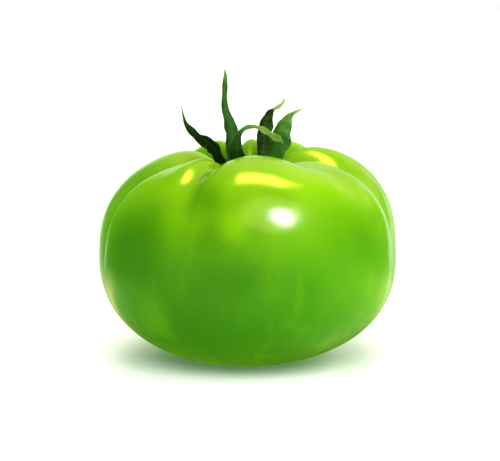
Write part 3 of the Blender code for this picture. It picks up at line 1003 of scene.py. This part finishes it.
def calyx_material():
    """The sepals' green, set per sepal partly as painted shade and light, with pale tips and veins."""
    made, tree, shader = new_material("sepal_green")
    place = add_node(tree, "TexCoord", {}).outputs["Object"]
    vein = attribute(tree, "vein")
    mottle = spread(tree, noise_at(tree, place, *MOTTLE_NOISE), *MOTTLE)
    green = maths(tree, "ADD", attribute(tree, "green"), mottle)
    colour = blend(tree, spread(tree, green, *DARK_TO_GREEN), SEPAL_DARK, SEPAL_GREEN)
    colour = blend(tree, spread(tree, green, *GREEN_TO_LIGHT), colour, SEPAL_LIGHT)
    colour = blend(tree, product(tree, vein, VEIN_SHARE), colour, VEIN_GREEN)
    colour = blend(tree, attribute(tree, "pale"), colour, SEPAL_PALE)
    tree.links.new(colour, shader.inputs["Base Color"])
    tree.links.new(spread(tree, mottle, *CALYX_ROUGHNESS), shader.inputs["Roughness"])
    set_values(shader, CALYX_SHADER)
    relief = maths(tree, "ADD", product(tree, vein, VEIN_RELIEF), noise_at(tree, place, *GRAIN_NOISE))
    add_bump(tree, shader, relief, GRAIN)
    return made


def hair_material():
    """Pale hairs, some greener than others."""
    made, tree, shader = new_material("hair")
    place = add_node(tree, "TexCoord", {}).outputs["Object"]
    tint = spread(tree, noise_at(tree, place, *HAIR_NOISE), *HAIR_TINT)
    tree.links.new(blend(tree, tint, SEPAL_LIGHT, SEPAL_PALE), shader.inputs["Base Color"])
    set_values(shader, {"Roughness": HAIR_ROUGHNESS})
    return made


# The stage

def aim(obj, target):
    obj.rotation_mode = "QUATERNION"
    obj.rotation_quaternion = (target - obj.location).to_track_quat("-Z", "Y")


def direction_at(azimuth, elevation):
    """A direction from the fruit, in degrees to the right of the camera and up."""
    side, up = math.radians(azimuth), math.radians(elevation)
    return Vector((math.sin(side) * math.cos(up), -math.cos(side) * math.cos(up), math.sin(up)))


def add_camera():
    data = bpy.data.cameras.new("camera")
    data.sensor_width = SENSOR_WIDTH
    data.lens = PIXELS_PER_METRE * CAMERA_DISTANCE / IMAGE_WIDTH * SENSOR_WIDTH
    camera = bpy.data.objects.new("camera", data)
    bpy.context.scene.collection.objects.link(camera)
    camera.location = CAMERA_TARGET + direction_at(0, CAMERA_ELEVATION) * CAMERA_DISTANCE
    aim(camera, CAMERA_TARGET)
    bpy.context.scene.camera = camera


def add_light(name, kind, azimuth, elevation, distance, colour, strength):
    """A light that looks at the fruit, from degrees to the right of the camera and up."""
    data = bpy.data.lights.new(name, kind)
    data.energy = strength
    data.color = colour
    light = bpy.data.objects.new(name, data)
    bpy.context.scene.collection.objects.link(light)
    light.location = LIGHT_TARGET + direction_at(azimuth, elevation) * distance
    aim(light, LIGHT_TARGET)
    light.visible_camera = False
    return light


def add_softbox(name, azimuth, elevation, distance, size, spin, shape, colour, power):
    """A light with an area, turned by its spin about the way it looks."""
    light = add_light(name, "AREA", azimuth, elevation, distance, colour, power)
    light.rotation_quaternion @= Quaternion((0, 0, 1), math.radians(spin))
    light.data.shape = shape
    light.data.size, light.data.size_y = size
    return light


def add_wash(name, azimuth, elevation, angle, colour, strength):
    """Broad even light from one side, which doesn't show in reflections."""
    light = add_light(name, "SUN", azimuth, elevation, WASH_DISTANCE, colour, strength)
    light.data.angle = math.radians(angle)
    light.visible_glossy = False
    return light


def light_only(light, floor, state):
    """Keeps a light off the floor (EXCLUDE), which then doesn't block it, or on the floor alone (INCLUDE)."""
    receivers = bpy.data.collections.new(light.name + "_receivers")
    receivers.objects.link(floor)
    receivers.collection_objects[0].light_linking.link_state = state
    light.light_linking.receiver_collection = receivers
    if state == "EXCLUDE":
        light.light_linking.blocker_collection = receivers


def add_world():
    """White to the camera, and the surroundings to all else: the regions, each laid over the ones before."""
    world = bpy.data.worlds.new("studio")
    bpy.context.scene.world = world
    world.use_nodes = True
    tree = world.node_tree
    tree.nodes.clear()
    towards = add_node(tree, "TexCoord", {}).outputs["Generated"]
    parts = add_node(tree, "SeparateXYZ", {"Vector": towards}).outputs

    def along(axis, ends):
        return spread(tree, parts[axis], *ends)

    left = product(tree, along("X", GROUND_LEFT_X), along("Z", GROUND_LEFT_Z))
    sides = maths(tree, "MAXIMUM", along("X", GROUND_RIGHT_X), left)
    ground = product(tree, along("Z", GROUND_Z), sides, along("Y", GROUND_Y))
    sides = maths(tree, "MAXIMUM", along("X", TABLE_RIGHT_X), along("X", TABLE_LEFT_X))
    table = product(tree, along("Z", TABLE_TOP_Z), sides, along("Z", TABLE_FOOT_Z), along("Y", TABLE_Y))
    glow = product(tree, along("X", GLOW_X), along("Y", GLOW_Y), along("Z", GLOW_Z))
    shade = product(tree, along("X", SHADE_X), along("Z", SHADE_Z))
    unshaded = spread(tree, shade, 0.0, 1.0, 1.0, LEFT_IN_SHADE)
    back = product(tree, along("Y", BACK_Y), along("Z", BACK_Z), unshaded)

    colour = blend(tree, ground, WORLD_FRONT, WORLD_GROUND)
    colour = blend(tree, table, colour, WORLD_TABLE)
    colour = blend(tree, glow, colour, WORLD_GLOW)
    colour = blend(tree, back, colour, WORLD_BACK)
    seen = add_node(tree, "Background", {"Color": (1, 1, 1, 1), "Strength": 1.0}).outputs[0]
    lit = add_node(tree, "Background", {"Color": colour, "Strength": 1.0}).outputs[0]
    camera_ray = add_node(tree, "LightPath", {}).outputs["Is Camera Ray"]
    mixed = add_node(tree, "MixShader", {0: camera_ray, 1: lit, 2: seen}).outputs[0]
    add_node(tree, "OutputWorld", {"Surface": mixed})


def add_floor():
    """The plain pale floor, which doesn't show in reflections."""
    mesh = bpy.data.meshes.new("floor")
    corners = [(x * FLOOR_REACH, y * FLOOR_REACH, 0) for x, y in ((-1, -1), (1, -1), (1, 1), (-1, 1))]
    mesh.from_pydata(corners, [], [(0, 1, 2, 3)])
    floor = bpy.data.objects.new("floor", mesh)
    bpy.context.scene.collection.objects.link(floor)
    made, _, shader = new_material("floor")
    set_values(shader, {"Base Color": FLOOR_WHITE, "Roughness": FLOOR_ROUGHNESS, "Specular IOR Level": 0.0})
    mesh.materials.append(made)
    floor.location.z = -FLOOR_DROP
    floor.visible_glossy = False
    return floor


def add_stage():
    bpy.context.scene.view_settings.view_transform = "Standard"
    add_camera()
    add_world()
    floor = add_floor()
    for row in SOFTBOXES:
        light_only(add_softbox(*row), floor, "EXCLUDE")
    for row in WASHES:
        light_only(add_wash(*row), floor, "EXCLUDE")
    for row in FLOOR_WASHES:
        light_only(add_wash(*row), floor, "INCLUDE")
    glow = add_wash(*FLOOR_GLOW)
    glow.data.use_shadow = False
    light_only(glow, floor, "INCLUDE")


def main():
    skin_mesh = build_skin()
    skin = add_piece("skin", skin_mesh, skin_material(), "fruit")
    surface = BVHTree.FromPolygons(
        [vert.co for vert in skin.data.vertices], [face.vertices for face in skin.data.polygons]
    )
    green = calyx_material()
    receptacle, base = build_receptacle(surface)
    add_piece("receptacle", receptacle, green, "calyx")
    add_piece("pedicel", build_pedicel(base), green, "calyx")
    blades = []
    for seed, name in enumerate(SEPALS):
        mesh, ribs = build_blade(name, seed * BLADE_SEED_STEP, surface)
        add_piece("sepal_" + name, mesh, green, "calyx")
        blades.append(ribs)
    add_piece("calyx_hairs", build_hairs(blades), hair_material(), "calyx")
    add_stage()


main()
